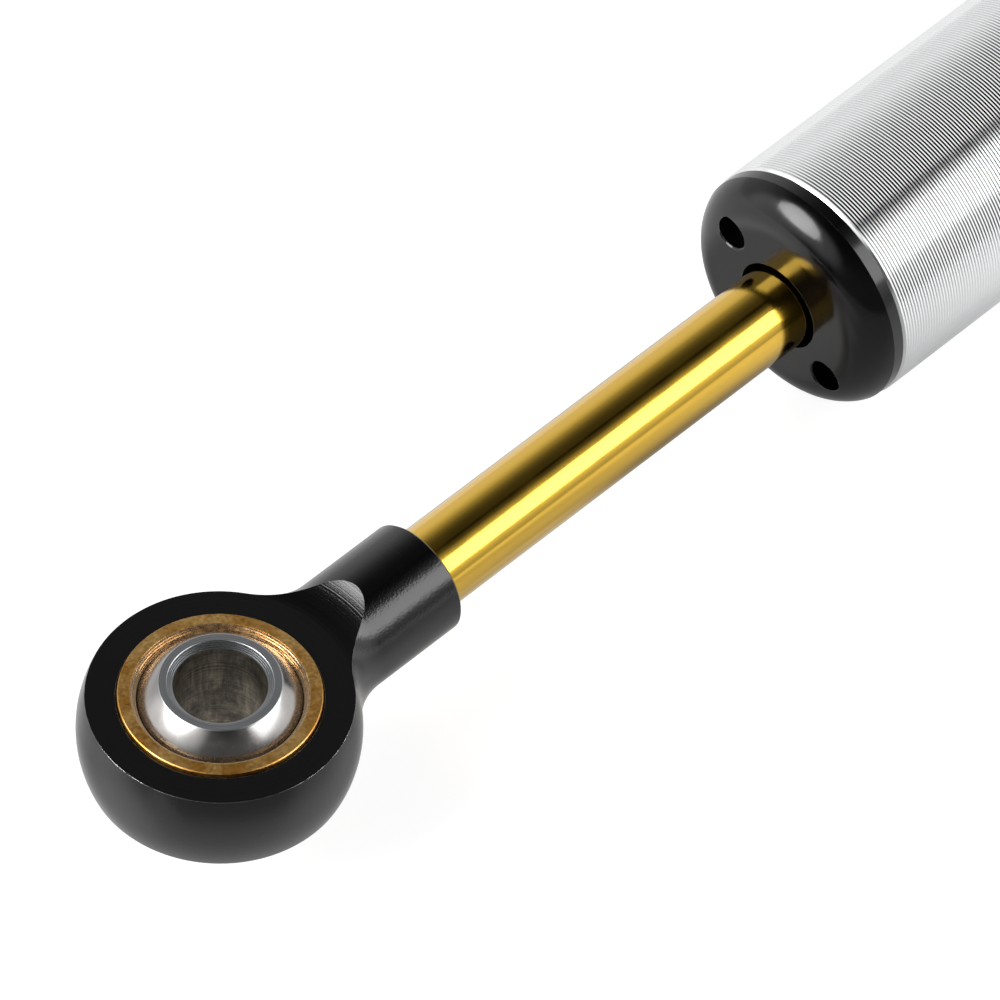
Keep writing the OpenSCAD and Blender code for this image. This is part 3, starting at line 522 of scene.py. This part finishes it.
# moulded rubber and plastic, cut or ground metal: each named for how its surface was made
nitrile = plainFinish("mouldedNitrileRubber", "#141414", 0.0, 0.42, 0.58, 0.25, 0.004, 1.52)
urethane = plainFinish("mouldedUrethane", "#b5652b", 0.0, 0.35, 0.5, 0.3, 0.004, 1.5)
machinedAluminium = plainFinish("machinedAluminium", "#c3c7ca", 1.0, 0.22, 0.34, 0.2, 0.003)
springSteel = plainFinish("blueGreySpringSteel", "#8d9296", 1.0, 0.2, 0.32, 0.2, 0.002)
turnedBrass = plainFinish("turnedBrass", "#c8a552", 1.0, 0.2, 0.32, 0.2, 0.003)
bushBronze = plainFinish("linedBushBronze", "#8c6a35", 1.0, 0.32, 0.45, 0.3, 0.004)
groundNeedle = plainFinish("groundStainlessSteel", "#b4b8bb", 1.0, 0.12, 0.2, 0.15, 0.001)
filledPtfe = plainFinish("bronzeFilledPtfe", "#8a7a58", 0.0, 0.4, 0.55, 0.12, 0.003, 1.35)
print("materials made")

pieceMaterials = {
    "rod_end_housing": blackAnodised, "bearing_race": bronze, "bearing_ball": groundSteel,
    "piston_rod": goldRod, "piston": machinedAluminium, "piston_band": filledPtfe,
    "piston_ring_seal": nitrile, "body_tube": turnedAluminium, "needle_seat": turnedBrass,
    "metering_needle": groundNeedle, "needle_ring_seals": nitrile, "adjuster_housing": blackAnodised,
    "adjuster_knob": blackAnodised, "knob_thread_insert": turnedBrass, "knob_snap_ring": springSteel,
    "detent_ball": groundSteel, "detent_spring": springSteel,
}
# one of each of these sits at the front and one at the rear
for name, material in {
    "shim": springSteel, "piston_clip": springSteel, "cap": glossBlack, "rod_guide": machinedAluminium,
    "bush": bushBronze, "rod_seal": nitrile, "seal_washer": springSteel, "wiper": nitrile,
    "guide_ring_seal": nitrile, "bump_stop": urethane,
}.items():
    pieceMaterials["front_" + name] = pieceMaterials["rear_" + name] = material
for name, material in pieceMaterials.items():
    nodes[name].data.materials.clear()
    nodes[name].data.materials.append(material)

joinWithin, tooShort = 0.0005 * mm, 0.0002 * mm  # points this close are one, and edges this short go


def meshFrom(name, points, faces, materials, faceSlots=None, crease=25):
    # a closed mesh in metres from points in millimetres, smooth except across edges sharper than crease
    data = bpy.data.meshes.new(name)
    data.from_pydata([(x * mm, y * mm, z * mm) for x, y, z in points], [], faces)
    for material in materials:
        data.materials.append(material)
    if faceSlots:
        data.polygons.foreach_set("material_index", faceSlots)
    shape = bmesh.new()
    shape.from_mesh(data)
    bmesh.ops.remove_doubles(shape, verts=shape.verts, dist=joinWithin)
    bmesh.ops.dissolve_degenerate(shape, edges=shape.edges, dist=tooShort)
    bmesh.ops.recalc_face_normals(shape, faces=shape.faces)
    loose = [edge for edge in shape.edges if len(edge.link_faces) != 2]
    if loose:
        print(name, "has", len(loose), "open or doubled edges")
    shape.to_mesh(data)
    shape.free()
    data.polygons.foreach_set("use_smooth", [True] * len(data.polygons))
    data.set_sharp_from_angle(angle=math.radians(crease))
    made = bpy.data.objects.new(name, data)
    scene.collection.objects.link(made)
    return made


def turnProfile(profile, sides, axis, slots=None, closed=True):
    # points and faces of a profile of (radius, distance) turned about X or Z
    points, faces, faceSlots = [], [], []
    for radius, distance in profile:
        for k in range(sides):
            angle = 2 * math.pi * k / sides
            across, upwards = radius * math.cos(angle), radius * math.sin(angle)
            points.append((distance, across, upwards) if axis == "X" else (across, upwards, distance))
    count = len(profile)
    for i in range(count if closed else count - 1):
        j = (i + 1) % count
        for k in range(sides):
            n = (k + 1) % sides
            faces.append((i * sides + k, i * sides + n, j * sides + n, j * sides + k))
            faceSlots.append(slots[i] if slots else 0)
    return points, faces, faceSlots


def arcPoints(radius, end, steps):
    # (radius, distance) points on an arc round the centre, from the middle plane up to an angle in degrees
    angles = [math.radians(end * i / steps) for i in range(steps + 1)]
    return [(radius * math.cos(angle), radius * math.sin(angle)) for angle in angles]


# Eye housing: ball, hollow fillet and neck, cut by two flats that run out up the neck in a tongue
housingSizes = {
    "ballR": 12.1, "flatZ": 4.1, "neckR": 5.3, "neckEnd": 23.7, "neckEdge": 0.2, "filletR": 6.5,
    "boreR": 8.66, "boreEdge": 0.15, "runOutR": 10.0, "lead": 0.15,
    "holeR": 3.02, "holeX": 13.1,
    # how finely it is drawn: degrees of the first rows at the ball's end, then rows and points round
    "endAngles": (0.0, 1.2, 3, 5.5, 8, 10.5, 13, 15.5, 18),
    "flatSteps": 96, "filletSteps": 20, "tongueSteps": 24, "neckSteps": 6, "around": 72,
    "flatLevels": 4, "runLevels": 12,
}


def buildHousing(size):
    ballR, flatZ, neckR, filletR = size["ballR"], size["flatZ"], size["neckR"], size["filletR"]
    filletX = math.sqrt((ballR + filletR) ** 2 - (neckR + filletR) ** 2)
    joinX = filletX * (ballR / (ballR + filletR))
    flatR = math.sqrt(ballR ** 2 - flatZ ** 2)
    runOutX = flatR - size["lead"]
    tipX = runOutX + math.sqrt(size["runOutR"] ** 2 - (flatZ + size["runOutR"] - neckR) ** 2)
    near = 1e-6  # mm

    def outlineR(x):
        # radius of the turned outline at a place along the rod's axis
        if x < joinX:
            return math.sqrt(max(ballR ** 2 - x ** 2, 0))
        if x < filletX:
            return neckR + filletR - math.sqrt(filletR ** 2 - (x - filletX) ** 2)
        return neckR

    def cutZ(rho):
        # height of the flat and its run-out at a distance from the eye's centre
        if rho <= runOutX:
            return flatZ
        out = min(rho - runOutX, size["runOutR"])
        return flatZ + size["runOutR"] - math.sqrt(size["runOutR"] ** 2 - out ** 2)

    def cutAngle(x):
        # angle from +Y at which the cut meets the outline, a right angle where it misses
        radius = outlineR(x)
        if x > tipX - near or cutZ(abs(x)) >= radius:
            return math.pi / 2
        low, high = 0.0, math.pi / 2
        for _ in range(40):  # halvings, to finer than a mesh can hold
            middle = (low + high) / 2
            rho = math.hypot(x, radius * math.cos(middle))
            if radius * math.sin(middle) < cutZ(rho):
                low = middle
            else:
                high = middle
        return low

    # rows along the rod's axis, closest where the flats' edge runs across it
    stations = [-ballR * math.cos(math.radians(a)) for a in size["endAngles"]]
    flatSteps, filletSteps, tongueSteps = size["flatSteps"], size["filletSteps"], size["tongueSteps"]
    neckSteps = size["neckSteps"]
    lastTurn = math.acos(-joinX / flatR)
    stations += [-flatR * math.cos(lastTurn * i / flatSteps) for i in range(flatSteps + 1)]
    stations += [joinX + (filletX - joinX) * i / filletSteps for i in range(1, filletSteps + 1)]
    for i in range(1, tongueSteps + 1):
        y = neckR * math.sqrt(1 - (cutZ(filletX) / neckR) ** 2) * math.cos(math.pi / 2 * i / tongueSteps)
        z = math.sqrt(neckR ** 2 - y ** 2)
        rho = runOutX + math.sqrt(max(size["runOutR"] ** 2 - (flatZ + size["runOutR"] - z) ** 2, 0))
        stations.append(math.sqrt(rho ** 2 - y ** 2))
    neckRun = size["neckEnd"] - size["neckEdge"] - stations[-1]
    stations += [stations[-1] + neckRun * i / neckSteps for i in range(1, neckSteps + 1)]
    stations = sorted(set(round(x, 6) for x in stations))

    points, faces, rows = [], [], []
    around = size["around"]
    for x in stations:
        radius, reach = outlineR(x), cutAngle(x)
        row = []
        for half in (0, 1):
            for k in range(around + 1):
                angle = reach * (2 * k / around - 1)
                angle = math.pi - angle if half else angle
                row.append(len(points))
                points.append((x, radius * math.cos(angle), radius * math.sin(angle)))
        rows.append(row)
    for low, high in zip(rows, rows[1:]):
        for half in (0, 1):
            first = half * (around + 1)
            for k in range(around):
                faces.append((low[first + k], low[first + k + 1], high[first + k + 1], high[first + k]))

    # the two flats: strips from the bearing's hole out to the edge that the outline shares
    edge = [x for x in stations if -flatR - 10 * near < x < tipX + 10 * near]
    inner = size["boreR"] + size["boreEdge"]
    flatLevels, runLevels = size["flatLevels"], size["runLevels"]
    for side in (1, -1):
        for mirrorY in (1, -1):
            strips = []
            for x in edge:
                reach = cutAngle(x)
                y = outlineR(x) * math.cos(reach)
                rho, turnTo = math.hypot(x, y), math.atan2(y, x)
                knee = min(rho, runOutX)
                levels = [inner + (knee - inner) * k / flatLevels for k in range(flatLevels + 1)]
                levels += [knee + (rho - knee) * k / runLevels for k in range(1, runLevels + 1)]
                strip = []
                for level in levels:
                    last = level == levels[-1]
                    z = outlineR(x) * math.sin(reach) if last else cutZ(level)
                    strip.append(len(points))
                    points.append((level * math.cos(turnTo), mirrorY * level * math.sin(turnTo), side * z))
                # the edge break at the bearing's hole, then the hole's wall down to the middle
                for radius, z in ((size["boreR"], flatZ - size["boreEdge"]), (size["boreR"], 0)):
                    strip.insert(0, len(points))
                    points.append((radius * math.cos(turnTo), mirrorY * radius * math.sin(turnTo), side * z))
                strips.append(strip)
            for low, high in zip(strips, strips[1:]):
                for k in range(len(low) - 1):
                    faces.append((low[k], low[k + 1], high[k + 1], high[k]))

    # end of the neck and the hole for the rod's spigot
    ring = rows[-1]
    order = ring[:around + 1] + ring[around + 1:][::-1]
    directions = [Vector(points[i][1:]).normalized() for i in order]
    previous = order
    for radius, x in ((neckR - size["neckEdge"], size["neckEnd"]), (size["holeR"], size["neckEnd"]),
                      (size["holeR"], size["holeX"]), (0.0, size["holeX"])):
        current = []
        for direction in directions:
            current.append(len(points))
            points.append((x, radius * direction[0], radius * direction[1]))
        for k in range(len(order)):
            n = (k + 1) % len(order)
            faces.append((previous[k], previous[n], current[n], current[k]))
        previous = current
    return points, faces


points, faces = buildHousing(housingSizes)
housing = meshFrom("rodEndHousing", points, faces, [blackAnodised], crease=18)
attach(housing, "rod")
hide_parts("rod_end_housing")
print("housing:", len(housing.data.polygons), "faces")

# Bronze race: square shell with a fine-stepped lip round the ball
raceSizes = {
    "outerR": 8.64, "half": 4.5, "ballR": 7.97, "lipZ": 3.7, "faceEdge": 0.08,
    "lipR": 7.06, "mouthR": 7.56, "mouthEdge": 0.02,
    "ridges": (0.055, 0.075, 0.045, 0.070), "valley": 0.03,
    "ridgeShares": (0.12, 0.45, 0.62, 0.92),  # of a ridge's length: valley, crest, crest, valley
    "wander": 0.012,
    "waves": ((3, 1.3, 1.0), (8, 2.1, 0.5)),  # number round the lip, phase from ridge to ridge, share
    "burrAngle": -31, "burrWidth": 3.0, "burrRise": 0.06,  # degrees, degrees, mm
    "seatSteps": 24, "sides": 288,
}


def buildRace(size):
    # the lip's slope, cut by the tool into ridges of uneven height
    across, rise = size["mouthR"] - size["lipR"], size["half"] - size["lipZ"]
    slope = math.hypot(across, rise)
    seat = math.degrees(math.asin(size["lipZ"] / size["ballR"]))
    upper = arcPoints(size["ballR"], seat, size["seatSteps"])
    lipFirst = len(upper)
    valley, perRidge = -size["valley"], len(size["ridgeShares"])
    for i, ridge in enumerate(size["ridges"]):
        for share, height in zip(size["ridgeShares"], (valley, ridge, ridge, valley)):
            along = (i + share) / len(size["ridges"])
            upper.append((size["lipR"] + across * along - height * rise / slope,
                          size["lipZ"] + rise * along + height * across / slope))
    lipLast = len(upper)
    mouthEdge = size["mouthEdge"]
    upper += [(size["mouthR"], size["half"] - mouthEdge / 2), (size["mouthR"] + mouthEdge, size["half"])]
    upper += [(size["outerR"] - size["faceEdge"], size["half"])]
    upper += [(size["outerR"], size["half"] - size["faceEdge"])]
    lower = [(radius, -z) for radius, z in reversed(upper)]
    profile = upper + [(size["outerR"], 0)] + lower[:-1]
    cut = [int(lipFirst - 1 <= min(i, len(profile) - 1 - i) < lipLast) for i in range(len(profile))]
    points, faces, faceSlots = turnProfile(profile, size["sides"], "Z", cut)
    # the ridges wander a little round the lip, each in its own phase, and one burr stands up on the last
    for i in list(range(lipFirst, lipLast)) + [len(profile) - j for j in range(lipFirst, lipLast)]:
        for k in range(size["sides"]):
            x, y, z = points[i * size["sides"] + k]
            turn = math.atan2(y, x)
            ridge = (min(i, len(profile) - i) - lipFirst) // perRidge
            shift = size["wander"] * sum(
                share * math.sin(number * turn + phase * ridge) for number, phase, share in size["waves"])
            apart = (math.degrees(turn) - size["burrAngle"]) / size["burrWidth"]
            shift += size["burrRise"] * math.exp(-apart * apart) * (z > 0 and i > lipLast - perRidge)
            radius = math.hypot(x, y)
            points[i * size["sides"] + k] = (x * (1 - shift / radius), y * (1 - shift / radius), z)
    return points, faces, faceSlots


points, faces, faceSlots = buildRace(raceSizes)
race = meshFrom("bearingRace", points, faces, [bronze, cutBronze], faceSlots)
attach(race, "rod")
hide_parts("bearing_race")

# Bearing ball with its faces and bolt hole
ballSizes = {
    "ballR": 7.9398, "half": 6.0, "boreR": 4.0, "mouth": 0.5, "faceBreak": 0.05,
    "lipWidth": 0.04, "lipDrop": 0.03,  # edge break where the face meets the mouth
    "passes": 4, "passShare": 0.78, "passDrop": 0.015,  # the cuts of the mouth
    "arcSteps": 40, "sides": 256,
}


def buildBall(size):
    # slots: 0 ground ball, 1 turned face and mouth, 2 reamed hole
    faceR = math.sqrt(size["ballR"] ** 2 - size["half"] ** 2)
    top = math.degrees(math.asin((size["half"] - size["faceBreak"]) / size["ballR"]))
    upper = arcPoints(size["ballR"], top, size["arcSteps"])
    slots = [0] * size["arcSteps"]
    upper += [(faceR - size["faceBreak"] / 2, size["half"])]
    slots += [1]
    mouthR = size["boreR"] + size["mouth"]
    upper += [(mouthR + size["lipWidth"], size["half"]), (mouthR, size["half"] - size["lipDrop"])]
    slots += [1, 1]
    passes = size["passes"]
    for i in range(1, passes + 1):
        # the mouth was cut in small passes, which leave fine steps
        z = size["half"] - size["mouth"] * i / passes
        radius = mouthR - size["mouth"] * i / passes
        upper += [(radius + size["passShare"] * size["mouth"] / passes, z + size["passDrop"]), (radius, z)]
        slots += [1, 1]
    slots += [2]
    lower = [(radius, -z) for radius, z in reversed(upper)]
    profile = upper + lower[:-1]
    slots = slots + list(reversed(slots[:-1]))
    return turnProfile(profile, size["sides"], "Z", slots)


points, faces, faceSlots = buildBall(ballSizes)
ball = meshFrom("bearingBall", points, faces, [groundSteel, facedSteel, reamedHole], faceSlots, crease=15)
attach(ball, "ball")
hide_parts("bearing_ball")
print("bearing: race and ball")

# Body tube: the bore and ends are turned from a profile, and the rings outside come from Geometry Nodes
tubeSizes = {
    "start": 72.05, "length": 121.9, "outerR": 11.6, "boreR": 9.5, "mouthR": 10.4, "mouthLength": 9.0,
    "chamfer": 0.25, "ringPitch": 0.3325, "ringDepth": 0.053,
    # shares of the pitch: the flat crest, the long flank and the valley; the short flank has the rest
    "crestShare": 0.08, "flankShare": 0.50, "valleyShare": 0.07,
    "crease": 9,  # degrees between faces that meet in a crisp edge
    "sides": 64,
}


def tubeRings(creaseAngle):
    # a grid of four rows a ring, wrapped round X and joined to the given core
    rowsPerRing = 4.0
    tree = bpy.data.node_groups.new("turnedRings", "GeometryNodeTree")
    interface = tree.interface
    interface.new_socket("Geometry", in_out="INPUT", socket_type="NodeSocketGeometry")
    for name, kind in (("Start", "Float"), ("Length", "Float"), ("Outer Radius", "Float"),
                       ("Ring Depth", "Float"), ("Crest Share", "Float"), ("Flank Share", "Float"),
                       ("Valley Share", "Float"), ("Rings", "Int"), ("Sides", "Int"),
                       ("Material", "Material")):
        interface.new_socket(name, in_out="INPUT", socket_type="NodeSocket" + kind)
    interface.new_socket("Geometry", in_out="OUTPUT", socket_type="NodeSocketGeometry")
    given = addNode(tree, "NodeGroupInput").outputs
    columns = addNode(tree, "ShaderNodeMath", {"operation": "ADD"}, {0: given["Sides"], 1: 1.0})
    rows = addNode(tree, "ShaderNodeMath", {"operation": "MULTIPLY_ADD"}, {
        0: given["Rings"], 1: rowsPerRing, 2: 1.0})
    grid = addNode(tree, "GeometryNodeMeshGrid", values={"Vertices X": rows, "Vertices Y": columns})
    index = addNode(tree, "GeometryNodeInputIndex")
    rowShare = addNode(tree, "ShaderNodeMath", {"operation": "DIVIDE"}, {0: index, 1: columns})
    # the small share added keeps a row's first point from being rounded into the row before
    rowNumber = addNode(tree, "ShaderNodeMath", {"operation": "FLOOR"}, {
        0: addNode(tree, "ShaderNodeMath", {"operation": "ADD"}, {0: rowShare, 1: 0.0001})})
    column = addNode(tree, "ShaderNodeMath", {"operation": "SUBTRACT"}, {
        0: index, 1: addNode(tree, "ShaderNodeMath", multiply, {0: rowNumber, 1: columns})})
    ring = addNode(tree, "ShaderNodeMath", {"operation": "FLOOR"}, {
        0: addNode(tree, "ShaderNodeMath", multiply, {0: rowNumber, 1: 1 / rowsPerRing})})
    step = addNode(tree, "ShaderNodeMath", {"operation": "SUBTRACT"}, {
        0: rowNumber, 1: addNode(tree, "ShaderNodeMath", multiply, {0: ring, 1: rowsPerRing})})
    # each ring: crest, long flank down, valley, short flank up
    past, turned = [], 0.0
    for row, share in enumerate(("Crest Share", "Flank Share", "Valley Share")):
        past.append(addNode(tree, "ShaderNodeMath", {"operation": "GREATER_THAN"}, {0: step, 1: row + 0.5}))
        turned = addNode(tree, "ShaderNodeMath", {"operation": "MULTIPLY_ADD"}, {
            0: past[row], 1: given[share], 2: turned})
    ringPlace = addNode(tree, "ShaderNodeMath", {"operation": "ADD"}, {0: ring, 1: turned})
    pitch = addNode(tree, "ShaderNodeMath", {"operation": "DIVIDE"}, {0: given["Length"], 1: given["Rings"]})
    along = addNode(tree, "ShaderNodeMath", {"operation": "MULTIPLY_ADD"}, {
        0: ringPlace, 1: pitch, 2: given["Start"]})
    drop = addNode(tree, "ShaderNodeMath", multiply, {0: past[1], 1: given["Ring Depth"]})
    radius = addNode(tree, "ShaderNodeMath", {"operation": "SUBTRACT"}, {0: given["Outer Radius"], 1: drop})
    turnShare = addNode(tree, "ShaderNodeMath", {"operation": "DIVIDE"}, {0: column, 1: given["Sides"]})
    angle = addNode(tree, "ShaderNodeMath", multiply, {0: turnShare, 1: 2 * math.pi})
    cosine = addNode(tree, "ShaderNodeMath", {"operation": "COSINE"}, {0: angle})
    sine = addNode(tree, "ShaderNodeMath", {"operation": "SINE"}, {0: angle})
    place = addNode(tree, "ShaderNodeCombineXYZ", values={
        "X": along,
        "Y": addNode(tree, "ShaderNodeMath", multiply, {0: radius, 1: cosine}),
        "Z": addNode(tree, "ShaderNodeMath", multiply, {0: radius, 1: sine})})
    wrapped = addNode(tree, "GeometryNodeSetPosition", values={"Geometry": grid, "Position": place})
    outward = addNode(tree, "GeometryNodeFlipFaces", values={"Mesh": wrapped})
    joined = addNode(tree, "GeometryNodeJoinGeometry")
    tree.links.new(outward.outputs[0], joined.inputs[0])
    tree.links.new(given["Geometry"], joined.inputs[0])
    closed = addNode(tree, "GeometryNodeMergeByDistance", values={"Geometry": joined, "Distance": 0.001 * mm})
    # smooth round the tube, crisp along each ring's edges
    smooth = addNode(tree, "GeometryNodeSetShadeSmooth", {"domain": "FACE"}, {
        "Geometry": closed, "Shade Smooth": True})
    crease = addNode(tree, "ShaderNodeMath", {"operation": "GREATER_THAN"}, {
        0: addNode(tree, "GeometryNodeInputMeshEdgeAngle"), 1: math.radians(creaseAngle)})
    crisp = addNode(tree, "GeometryNodeSetShadeSmooth", {"domain": "EDGE"}, {
        "Geometry": smooth, "Selection": crease, "Shade Smooth": False})
    real = addNode(tree, "GeometryNodeRealizeInstances", values={"Geometry": crisp})
    painted = addNode(tree, "GeometryNodeSetMaterial", values={
        "Geometry": real, "Material": given["Material"]})
    addNode(tree, "NodeGroupOutput", values={"Geometry": painted})
    return tree


def bakeNodes(piece, tree, values):
    # runs a node tree on a piece with these inputs and keeps the result as a plain mesh
    modifier = piece.modifiers.new("rings", "NODES")
    modifier.node_group = tree
    for item in tree.interface.items_tree:
        if item.item_type == "SOCKET" and item.in_out == "INPUT" and item.name in values:
            modifier[item.identifier] = values[item.name]
    evaluated = piece.evaluated_get(bpy.context.evaluated_depsgraph_get())
    result = bpy.data.meshes.new_from_object(evaluated)
    piece.modifiers.remove(modifier)
    piece.data = result


def buildTube(size):
    endX = size["start"] + size["length"]
    coreProfile = [
        (size["outerR"], size["start"] + size["chamfer"]), (size["outerR"] - size["chamfer"], size["start"]),
        (size["mouthR"], size["start"]), (size["mouthR"], size["start"] + size["mouthLength"]),
        (size["boreR"], size["start"] + size["mouthLength"]), (size["boreR"], endX - size["mouthLength"]),
        (size["mouthR"], endX - size["mouthLength"]), (size["mouthR"], endX),
        (size["outerR"] - size["chamfer"], endX), (size["outerR"], endX - size["chamfer"]),
    ]
    points, faces, _ = turnProfile(coreProfile, size["sides"], "X", closed=False)
    made = bpy.data.objects.new("bodyTube", bpy.data.meshes.new("bodyTube"))
    corners = [(x * mm, y * mm, z * mm) for x, y, z in points]
    made.data.from_pydata(corners, [], [face[::-1] for face in faces])
    scene.collection.objects.link(made)
    ringRun = size["length"] - 2 * size["chamfer"]
    bakeNodes(made, tubeRings(size["crease"]), {
        "Start": (size["start"] + size["chamfer"]) * mm, "Length": ringRun * mm,
        "Outer Radius": size["outerR"] * mm, "Ring Depth": size["ringDepth"] * mm,
        "Crest Share": size["crestShare"], "Flank Share": size["flankShare"],
        "Valley Share": size["valleyShare"], "Rings": round(ringRun / size["ringPitch"]),
        "Sides": size["sides"], "Material": turnedAluminium})
    return made


tube = buildTube(tubeSizes)
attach(tube, "damper_body")
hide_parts("body_tube")
print("tube:", len(tube.data.polygons), "faces")
